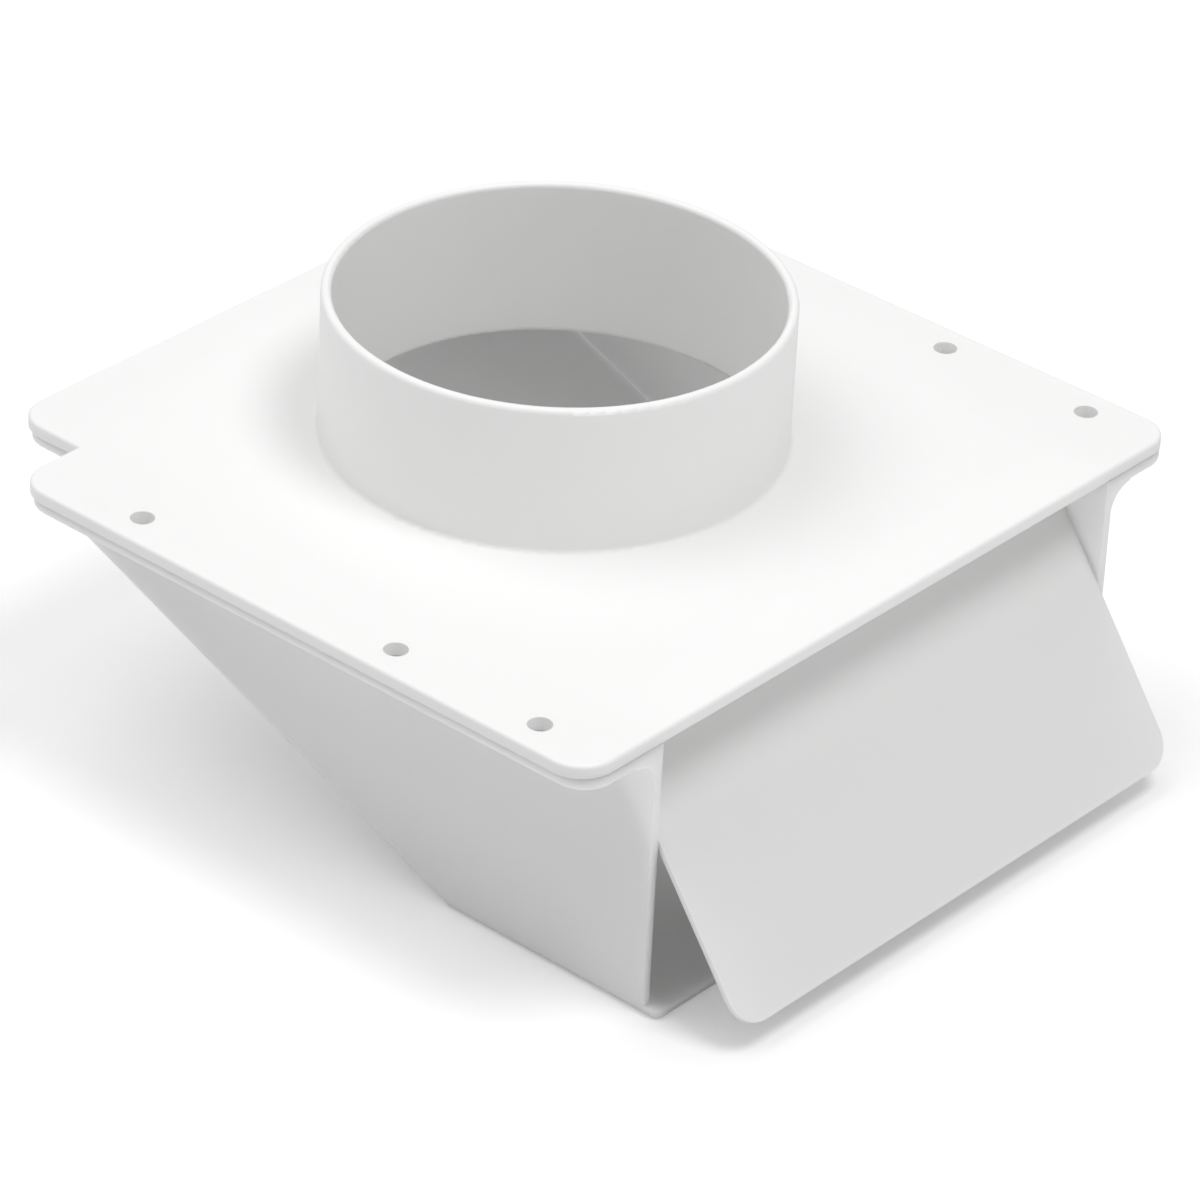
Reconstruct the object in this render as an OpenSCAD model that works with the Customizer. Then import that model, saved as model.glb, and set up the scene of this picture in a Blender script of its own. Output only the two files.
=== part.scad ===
// Under-eave exhaust vent: a flat plate with a round duct collar, a wedge-shaped
// hood below it that is open at the front, and a thin flap hinged in the mouth.
// Origin on the collar's axis at the plate's top face, +Z up the duct,
// +X out of the mouth. Millimetres.

/* [Duct collar] */
// Outer diameter of the collar
collar_d = 100; // [80:1:130]
// Wall thickness of the collar
collar_wall = 2.3; // [1.6:0.1:4]
// Height of the collar above the plate
collar_h = 33.5; // [20:0.5:60]
// Fillet where the collar meets the plate
collar_fillet = 1; // [0.5:0.1:2]
// Rounding of the bore's lower edge
bore_round = 1.2; // [0.5:0.1:1.6]

/* [Flange] */
// Width of the flange, side to side
flange_w = 190; // [175:1:240]
// Collar axis to the flange's front edge
flange_front = 93; // [85:1:125]
// Collar axis to the flange's rear edge
flange_rear = 85; // [78:1:115]
// Thickness of the collar plate
plate_t = 3; // [2.4:0.1:5]
// Thickness of the hood's own flange
hood_flange_t = 2.9; // [2:0.1:5]
// How far the hood's flange stands in from the plate's side and rear edges
flange_inset = 0.8; // [0:0.1:1.5]
// Corner radius of the flange, seen from above
corner_r = 8; // [4:0.5:9]
// How far the tab between the rear notches stands out past the hood's side walls
tab_side = 2.8; // [2:0.1:6]
// Length of the square notch at each rear corner
notch_l = 19.8; // [12:0.1:26]
// Rounding of the flange's outer edges
edge_round = 0.8; // [0.4:0.1:1]
// Rounding of the two edges that meet at the seam
seam_round = 0.3; // [0.1:0.1:0.4]

/* [Screw holes] */
// Diameter of each hole
hole_d = 5.2; // [3.5:0.1:6]
// Side edge to the holes' centres
hole_inset = 7.7; // [6:0.1:9]
// Front edge to the front hole
hole_front = 18.5; // [12:0.5:24]
// Front edge to the middle hole
hole_middle = 57.1; // [40:0.1:70]
// Front edge to the rear hole
hole_rear = 128.3; // [100:0.1:140]

/* [Hood] */
// Outside width of the hood
hood_w = 147; // [120:1:156]
// Wall thickness of the hood
hood_wall = 2.1; // [1.6:0.1:3]
// Plate's top face to the hood's lowest face
hood_depth = 67.5; // [55:0.5:90]
// Plate's top face to the low corner of the rear wall
rear_depth = 21.2; // [16:0.1:30]
// Flange's rear edge to the rear wall
rear_margin = 11; // [8:0.5:14]
// Length of the flat floor, from the walls' front edge to the ramp
floor_l = 53.5; // [40:0.5:65]
// How far the floor stands out past the side walls
lip_l = 3.8; // [3:0.1:6]
// Plan radius of the lip's two corners
lip_corner_r = 2.6; // [1:0.1:3]
// Rounding of the lip's lower edge
lip_low_r = 1; // [0.3:0.1:1]
// Rounding of the lip's upper edge
lip_high_r = 0.6; // [0.2:0.1:0.6]
// Outer radius of the bend between floor and ramp
floor_bend_r = 16; // [8:0.5:24]
// Outer radius of the bend between ramp and rear wall
rear_bend_r = 7; // [5.5:0.5:8]
// Rounding of the hood's long lower edges
hood_round = 2; // [1.8:0.1:2.4]
// Fillet between the hood's walls and its flange
hood_fillet = 6; // [3:0.1:7]

/* [Flap] */
// Thickness of the flap
flap_t = 1.2; // [0.8:0.1:2.4]
// Gap between the flap's side edge and the side wall
flap_side_gap = 0.6; // [0.4:0.1:1.2]
// How far the flap reaches past the lip when it is closed
flap_overlap = 5.6; // [3:0.1:8]
// Corner radius at the bottom of the flap
flap_corner_r = 7; // [4:0.5:20]
// Angle of the flap from vertical, as shown
flap_angle = 35.3; // [25:0.1:80]
// Diameter of the hinge rod along the flap's top edge
pin_d = 3.8; // [3:0.1:4.6]
// Radial clearance of the rod in its seats
pin_play = 0.05; // [0.03:0.01:0.1]
// Gap between the rod and the plate above it
pin_top_gap = 0.3; // [0.3:0.05:0.5]
// How far the rod's ends reach into the seats
pin_reach = 2.1; // [1.6:0.1:2.2]
// Front edge to the hinge axis
hinge_setback = 16.4; // [12:0.1:20]

/* [Hidden] */
$fn = 96;
past = 1;
// An arc that is cut tangent to a flat face is this much too large, so the two cross
// instead of only touching.
arc_lap = 0.002;
collar_r = collar_d / 2;
bore_r = collar_r - collar_wall;
flange_half = flange_w / 2;
hood_half = hood_w / 2;
inner_half = hood_half - hood_wall;
tab_half = hood_half + tab_side;
notch_x = notch_l - flange_rear;
fillet_rear = notch_x + flange_inset + edge_round;
seam_z = -plate_t;
flange_low = -plate_t - hood_flange_t;
hole_x = [for (d = [hole_front, hole_middle, hole_rear]) flange_front - d];
hole_y = flange_half - hole_inset;
rear_x = rear_margin - flange_rear;
ramp_x = flange_front - floor_l;
ramp_angle = atan2(hood_depth - rear_depth, ramp_x - rear_x);
rear_turn = 90 - ramp_angle;
floor_tangent = floor_bend_r * tan(ramp_angle / 2);
rear_tangent = rear_bend_r * tan(rear_turn / 2);
ramp_l = norm([ramp_x - rear_x, hood_depth - rear_depth]);
pin_r = pin_d / 2;
hinge_x = flange_front - hinge_setback;
hinge_z = seam_z - pin_top_gap - pin_r;
flap_half = inner_half - flap_side_gap;
lip_x = flange_front + lip_l;
lip_reach = norm([lip_x - hinge_x, hood_depth - hood_wall + hinge_z]);
flap_l = lip_reach + flap_overlap;
rod_half = inner_half + pin_reach;
seat_half = rod_half + pin_top_gap;

// Rectangle from low to high with its four corners rounded: the pair at the bottom
// by low_r, the pair at the top by high_r.
module soft_rect(low, high, low_r, high_r) {
    wide = high.x - low.x;
    tall = high.y - low.y;
    translate([low.x + low_r, low.y])
        square([wide - 2 * low_r, tall / 2]);
    translate([low.x + high_r, low.y + tall / 2])
        square([wide - 2 * high_r, tall / 2]);
    translate([low.x, low.y + low_r])
        square([wide, tall - low_r - high_r]);
    for (x = [low.x + low_r, high.x - low_r])
        translate([x, low.y + low_r])
            circle(low_r);
    for (x = [low.x + high_r, high.x - high_r])
        translate([x, high.y - high_r])
            circle(high_r);
}

// Flat slab, rear to front in X and half to each side in Y, with rounded plan corners
// and rounded upper and lower edges.
module soft_slab(rear, front, half, low, high, plan_r, low_r, high_r) {
    translate([rear + plan_r, 0, 0])
        rotate([90, 0, 90])
            linear_extrude(front - rear - 2 * plan_r)
                soft_rect([-half, low], [half, high], low_r, high_r);
    translate([0, half - plan_r, 0])
        rotate([90, 0, 0])
            linear_extrude(2 * (half - plan_r))
                soft_rect([rear, low], [front, high], low_r, high_r);
    for (x = [rear + plan_r, front - plan_r], y = [plan_r - half, half - plan_r])
        translate([x, y, 0])
            rotate_extrude()
                intersection() {
                    soft_rect([-plan_r, low], [plan_r, high], low_r, high_r);
                    translate([0, low])
                        square([plan_r, high - low]);
                }
}

// The flange's outline as a slab: the full width, and a narrower tab at the rear that
// leaves a square notch at each rear corner. Side and rear edges stand in by the inset.
module flange_slab(inset, low, high, low_r, high_r) {
    plan_r = corner_r - inset;
    soft_slab(notch_x + inset, flange_front, flange_half - inset, low, high, plan_r, low_r, high_r);
    soft_slab(inset - flange_rear, notch_x + 3 * corner_r, tab_half - inset,
        low, high, plan_r, low_r, high_r);
}

module screw_holes() {
    for (x = hole_x, y = [-hole_y, hole_y])
        translate([x, y, flange_low - past])
            cylinder(d = hole_d, h = -flange_low + 2 * past);
}

// Half section of the collar, turned about the axis: a straight wall with a round rim
// and a fillet at its foot.
module collar_section() {
    rim_r = collar_wall / 2;
    translate([bore_r, seam_z / 2])
        square([collar_wall, collar_h - rim_r - seam_z / 2]);
    translate([bore_r + rim_r, collar_h - rim_r])
        circle(rim_r);
    difference() {
        translate([bore_r + rim_r, seam_z / 2])
            square([rim_r + collar_fillet, collar_fillet - seam_z / 2]);
        translate([collar_r + collar_fillet, collar_fillet])
            circle(collar_fillet);
    }
}

// Section of the ring that is cut away to round the bore's lower edge.
module bore_edge_section() {
    difference() {
        translate([bore_r - past, seam_z - past])
            square([bore_round + past, bore_round + past]);
        translate([bore_r + bore_round, seam_z + bore_round])
            circle(bore_round);
    }
}

module collar_plate() {
    color("white")
        difference() {
            union() {
                flange_slab(0, seam_z, 0, seam_round, edge_round);
                rotate_extrude()
                    collar_section();
            }
            translate([0, 0, seam_z - past])
                cylinder(r = bore_r, h = collar_h - seam_z + 2 * past);
            rotate_extrude()
                bore_edge_section();
            screw_holes();
        }
}

// A corner of the hood's side outline: where its two straight faces would meet, the
// centre of its bend, and the bend's outer radius.
floor_corner = [ramp_x, -hood_depth];
floor_centre = [ramp_x + floor_tangent, floor_bend_r - hood_depth];
rear_corner = [rear_x, -rear_depth];
rear_centre = [rear_x + rear_bend_r, rear_tangent - rear_depth];

// The same corner on a face that lies further in by the inset.
function inset_point(p, centre, r, inset) = centre + (p - centre) * (r - inset) / r;

// The sliver between a sharp corner and its bend, reaching past the corner.
module corner_sliver(corner, centre, r, before, after) {
    difference() {
        polygon([2 * corner - centre, before, centre, after]);
        translate(centre)
            circle(r + arc_lap);
    }
}

// The hood seen from the side, from the flange down to the floor, with a bend between
// floor and ramp and another between ramp and rear wall. Every face lies in by the inset.
module side_outline(inset, top, front) {
    ramp_way = [cos(ramp_angle), -sin(ramp_angle)];
    floor_p = inset_point(floor_corner, floor_centre, floor_bend_r, inset);
    rear_p = inset_point(rear_corner, rear_centre, rear_bend_r, inset);
    floor_t = floor_tangent * (floor_bend_r - inset) / floor_bend_r;
    rear_t = rear_tangent * (rear_bend_r - inset) / rear_bend_r;
    difference() {
        polygon([[front, top], [front, floor_p.y], floor_p, rear_p, [rear_p.x, top]]);
        corner_sliver(floor_p, floor_centre, floor_bend_r - inset,
            floor_p + [floor_t, 0], floor_p - floor_t * ramp_way);
        corner_sliver(rear_p, rear_centre, rear_bend_r - inset,
            rear_p + rear_t * ramp_way, rear_p + [0, rear_t]);
    }
}

// A side outline made solid across the hood, half to each side.
module across(half) {
    translate([0, half, 0])
        rotate([90, 0, 0])
            linear_extrude(2 * half)
                children();
}

// Cutters that round the hood's long lower edges: one along the floor, one along the
// ramp and one along the rear wall, on each side.
module edge_cutters() {
    for (side = [0, 1])
        mirror([0, side, 0]) {
            edge_cutter(ramp_x - floor_tangent, -hood_depth, 0, lip_x + past - ramp_x + floor_tangent);
            edge_cutter(rear_x - rear_tangent, rear_tangent * tan(ramp_angle) - rear_depth,
                ramp_angle, ramp_l + rear_tangent / cos(ramp_angle) + floor_tangent);
            edge_cutter(rear_x, flange_low, 90, rear_depth + flange_low + rear_tangent);
        }
}

// One cutter, from its rear end at x, z forwards and down at the given angle.
module edge_cutter(x, z, angle, run) {
    translate([x, 0, z])
        rotate([0, angle, 0])
            rotate([90, 0, 90])
                linear_extrude(run)
                    difference() {
                        translate([hood_half - hood_round, -past])
                            square(hood_round + past);
                        translate([hood_half - hood_round, hood_round])
                            circle(hood_round + arc_lap);
                    }
}

// Fillets under the flange, along both side walls and along the rear wall.
module fillet_section() {
    difference() {
        translate([-hood_wall / 2, -hood_fillet])
            square([hood_wall / 2 + hood_fillet, hood_fillet + hood_flange_t / 2]);
        translate([hood_fillet, -hood_fillet])
            circle(hood_fillet);
    }
}

module flange_fillets() {
    for (side = [0, 1])
        mirror([0, side, 0])
            translate([fillet_rear, hood_half, flange_low])
                rotate([90, 0, 90])
                    linear_extrude(flange_front - fillet_rear)
                        fillet_section();
    translate([rear_x, hood_half - hood_round, flange_low])
        rotate([90, 0, 0])
            linear_extrude(2 * (hood_half - hood_round))
                mirror([1, 0])
                    fillet_section();
}

// Seats for the ends of the hinge rod: round at the bottom and open at the top, so the
// rod drops in before the plate goes on.
module rod_seats() {
    seat_r = pin_r + pin_play;
    translate([hinge_x, seat_half, hinge_z])
        rotate([90, 0, 0])
            cylinder(r = seat_r, h = 2 * seat_half);
    translate([hinge_x - seat_r, -seat_half, hinge_z])
        cube([2 * seat_r, 2 * seat_half, past - hinge_z]);
}

module hood() {
    color("white")
        difference() {
            union() {
                flange_slab(flange_inset, flange_low, seam_z, edge_round, seam_round);
                across(hood_half)
                    side_outline(0, seam_z - hood_flange_t / 2, flange_front);
                soft_slab(flange_front - floor_l / 2, lip_x, hood_half, -hood_depth,
                    hood_wall - hood_depth, lip_corner_r, lip_low_r, lip_high_r);
                flange_fillets();
            }
            across(inner_half)
                side_outline(hood_wall, past, lip_x + past);
            edge_cutters();
            rod_seats();
            screw_holes();
        }
}

// Outline of the flap below the hinge axis, with rounded lower corners.
module flap_outline() {
    translate([flap_corner_r - flap_half, -flap_l])
        square([2 * (flap_half - flap_corner_r), flap_l]);
    translate([-flap_half, flap_corner_r - flap_l])
        square([2 * flap_half, flap_l - flap_corner_r]);
    for (y = [flap_corner_r - flap_half, flap_half - flap_corner_r])
        translate([y, flap_corner_r - flap_l])
            circle(flap_corner_r);
}

module damper_flap() {
    color("white")
        translate([hinge_x, 0, hinge_z])
            rotate([0, -flap_angle, 0]) {
                translate([-flap_t / 2, 0, 0])
                    rotate([90, 0, 90])
                        linear_extrude(flap_t)
                            flap_outline();
                translate([0, rod_half, 0])
                    rotate([90, 0, 0])
                        cylinder(r = pin_r, h = 2 * rod_half);
            }
}

collar_plate();
hood();
damper_flap();
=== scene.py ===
import math

import bpy
from mathutils import Matrix, Vector


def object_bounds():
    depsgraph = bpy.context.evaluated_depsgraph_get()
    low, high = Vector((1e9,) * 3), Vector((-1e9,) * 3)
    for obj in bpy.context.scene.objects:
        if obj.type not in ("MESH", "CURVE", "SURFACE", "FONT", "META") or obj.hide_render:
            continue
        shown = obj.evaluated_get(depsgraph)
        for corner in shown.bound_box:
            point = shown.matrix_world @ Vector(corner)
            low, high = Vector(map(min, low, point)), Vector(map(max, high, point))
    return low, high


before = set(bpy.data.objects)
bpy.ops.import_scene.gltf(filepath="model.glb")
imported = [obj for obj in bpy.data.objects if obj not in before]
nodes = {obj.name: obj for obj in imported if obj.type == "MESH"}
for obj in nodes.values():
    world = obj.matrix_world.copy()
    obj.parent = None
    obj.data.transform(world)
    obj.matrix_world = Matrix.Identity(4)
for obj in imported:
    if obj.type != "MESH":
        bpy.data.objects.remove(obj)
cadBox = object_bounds()
print("frame loaded:", sorted(nodes))

# The picture's viewing angle: degrees round the object and above the horizon,
# then the camera's own turn about its line of sight.
camera = {
    "target": (0.0204, -0.0065, -0.0304),
    "azimuth": 40.0,
    "elevation": 31.66,
    "roll": 2.85,
    "distance": 1.329,
    "lens": 188.72,
    "sensor": 36.0,
}

# Floor: how far it spreads, its gap under the hood and what the camera sees of it.
ground = {
    "size": 8.0,
    "gap": 0.0002,
    "color": (0.86, 0.86, 0.86),
    "roughness": 0.9,
    "glow": 0.22,
}

# Lamps: place and size in metres, power in watts, all turned to one point.
lamps = {
    "key": {"place": (-0.55, -0.30, 1.30), "size": 1.2, "power": 7.4},
    "front": {"place": (0.50, 0.05, 1.30), "size": 0.6, "power": 7.3},
}
lampTarget = (0.0, 0.0, -0.03)
worldStrength = 0.45

# The plastic: its colour, its gloss, the grain of the mould's surface, and how deep
# light goes into it.
plastic = {
    "light": (0.935, 0.935, 0.93),
    "dark": (0.92, 0.92, 0.914),
    "mottleScale": 28.0,
    "mottleDetail": 4.0,
    "roughLow": 0.40,
    "roughHigh": 0.52,
    "roughScale": 180.0,
    "roughDetail": 3.0,
    "grainScale": 2600.0,
    "grainDetail": 2.0,
    "grainDepth": 0.00002,
    "waveScale": 16.0,
    "waveDetail": 1.0,
    "waveDepth": 0.0004,
    "depth": 0.006,
}

# How much of the light goes into each moulding: the hood and flap are the thin ones.
depthShare = {"collar_plate": 0.2, "hood": 1.0, "damper_flap": 0.5}


def makeNode(tree, kind, **values):
    node = tree.nodes.new(kind)
    for name, value in values.items():
        node.inputs[name].default_value = value
    return node


# One white moulding: faint mottle in the colour, uneven gloss, a fine mould grain and
# a slow waviness. The share says how much of its light goes in.
def makePlastic(name, seed, share):
    material = bpy.data.materials.new(name)
    material.use_nodes = True
    tree = material.node_tree
    links = tree.links
    shader = tree.nodes["Principled BSDF"]
    coords = tree.nodes.new("ShaderNodeTexCoord")
    place = makeNode(tree, "ShaderNodeMapping", Location=(seed, seed * 0.7, seed * 1.3))
    links.new(coords.outputs["Object"], place.inputs["Vector"])

    mottle = makeNode(
        tree, "ShaderNodeTexNoise", Scale=plastic["mottleScale"], Detail=plastic["mottleDetail"])
    links.new(place.outputs["Vector"], mottle.inputs["Vector"])
    tint = tree.nodes.new("ShaderNodeMix")
    tint.data_type = "RGBA"
    tint.inputs["A"].default_value = (*plastic["light"], 1.0)
    tint.inputs["B"].default_value = (*plastic["dark"], 1.0)
    links.new(mottle.outputs["Fac"], tint.inputs["Factor"])
    links.new(tint.outputs["Result"], shader.inputs["Base Color"])

    gloss = makeNode(tree, "ShaderNodeTexNoise", Scale=plastic["roughScale"], Detail=plastic["roughDetail"])
    links.new(place.outputs["Vector"], gloss.inputs["Vector"])
    spread = makeNode(tree, "ShaderNodeMapRange")
    spread.inputs["To Min"].default_value = plastic["roughLow"]
    spread.inputs["To Max"].default_value = plastic["roughHigh"]
    links.new(gloss.outputs["Fac"], spread.inputs["Value"])
    links.new(spread.outputs["Result"], shader.inputs["Roughness"])

    grain = makeNode(tree, "ShaderNodeTexNoise", Scale=plastic["grainScale"], Detail=plastic["grainDetail"])
    links.new(place.outputs["Vector"], grain.inputs["Vector"])
    wave = makeNode(tree, "ShaderNodeTexNoise", Scale=plastic["waveScale"], Detail=plastic["waveDetail"])
    links.new(place.outputs["Vector"], wave.inputs["Vector"])
    grainBump = makeNode(tree, "ShaderNodeBump", Strength=1.0, Distance=plastic["grainDepth"])
    waveBump = makeNode(tree, "ShaderNodeBump", Strength=1.0, Distance=plastic["waveDepth"])
    links.new(wave.outputs["Fac"], waveBump.inputs["Height"])
    links.new(grain.outputs["Fac"], grainBump.inputs["Height"])
    links.new(waveBump.outputs["Normal"], grainBump.inputs["Normal"])
    links.new(grainBump.outputs["Normal"], shader.inputs["Normal"])
    shader.inputs["Subsurface Weight"].default_value = share
    shader.inputs["Subsurface Radius"].default_value = (1.0, 1.0, 1.0)
    shader.inputs["Subsurface Scale"].default_value = plastic["depth"]
    return material


def paint(node, material):
    slots = nodes[node].data.materials
    slots.clear()
    slots.append(material)


paint("collar_plate", makePlastic("platePlastic", 0.0, depthShare["collar_plate"]))
paint("hood", makePlastic("hoodPlastic", 3.0, depthShare["hood"]))
paint("damper_flap", makePlastic("flapPlastic", 7.0, depthShare["damper_flap"]))
print("materials done")


# Plain pale floor under the lowest point of the hood.
def makeFloor():
    low = cadBox[0]
    bpy.ops.mesh.primitive_plane_add(size=ground["size"], location=(0.0, 0.0, low[2] - ground["gap"]))
    floor = bpy.context.object
    floor.name = "floor"
    material = bpy.data.materials.new("floorPaint")
    material.use_nodes = True
    tree = material.node_tree
    shader = tree.nodes["Principled BSDF"]
    shader.inputs["Base Color"].default_value = (*ground["color"], 1.0)
    shader.inputs["Roughness"].default_value = ground["roughness"]
    shader.inputs["Emission Color"].default_value = (1.0, 1.0, 1.0, 1.0)
    rays = tree.nodes.new("ShaderNodeLightPath")
    glow = makeNode(tree, "ShaderNodeMath")
    glow.operation = "MULTIPLY"
    glow.inputs[1].default_value = ground["glow"]
    tree.links.new(rays.outputs["Is Camera Ray"], glow.inputs[0])
    tree.links.new(glow.outputs["Value"], shader.inputs["Emission Strength"])
    material.cycles.emission_sampling = "NONE"
    floor.data.materials.append(material)


def aim(thing, target, roll=0.0):
    sight = (Vector(target) - thing.location).normalized()
    turn = sight.to_track_quat("-Z", "Y").to_matrix().to_4x4()
    spin = Matrix.Rotation(math.radians(roll), 4, "Z")
    thing.matrix_world = Matrix.Translation(thing.location) @ turn @ spin


def makeCamera():
    data = bpy.data.cameras.new("camera")
    data.sensor_width = camera["sensor"]
    data.lens = camera["lens"]
    eye = bpy.data.objects.new("camera", data)
    bpy.context.collection.objects.link(eye)
    around = math.radians(camera["azimuth"])
    above = math.radians(camera["elevation"])
    back = Vector((math.sin(around) * math.cos(above), -math.cos(around) * math.cos(above), math.sin(above)))
    eye.location = Vector(camera["target"]) + back * camera["distance"]
    aim(eye, camera["target"], camera["roll"])
    bpy.context.scene.camera = eye


def makeLamps():
    for name, lamp in lamps.items():
        data = bpy.data.lights.new(name, "AREA")
        data.shape = "DISK"
        data.size = lamp["size"]
        data.energy = lamp["power"]
        light = bpy.data.objects.new(name, data)
        bpy.context.collection.objects.link(light)
        light.location = lamp["place"]
        aim(light, lampTarget)


# Even light from all round, which the camera sees as white.
def makeWorld():
    world = bpy.data.worlds.new("studio")
    bpy.context.scene.world = world
    world.use_nodes = True
    tree = world.node_tree
    rays = tree.nodes.new("ShaderNodeLightPath")
    strength = makeNode(tree, "ShaderNodeMapRange")
    strength.inputs["To Min"].default_value = worldStrength
    strength.inputs["To Max"].default_value = 1.0
    tree.links.new(rays.outputs["Is Camera Ray"], strength.inputs["Value"])
    tree.links.new(strength.outputs["Result"], tree.nodes["Background"].inputs["Strength"])
    tree.nodes["Background"].inputs["Color"].default_value = (1.0, 1.0, 1.0, 1.0)


makeFloor()
makeCamera()
makeLamps()
makeWorld()
bpy.context.scene.view_settings.view_transform = "Standard"
print("stage done")
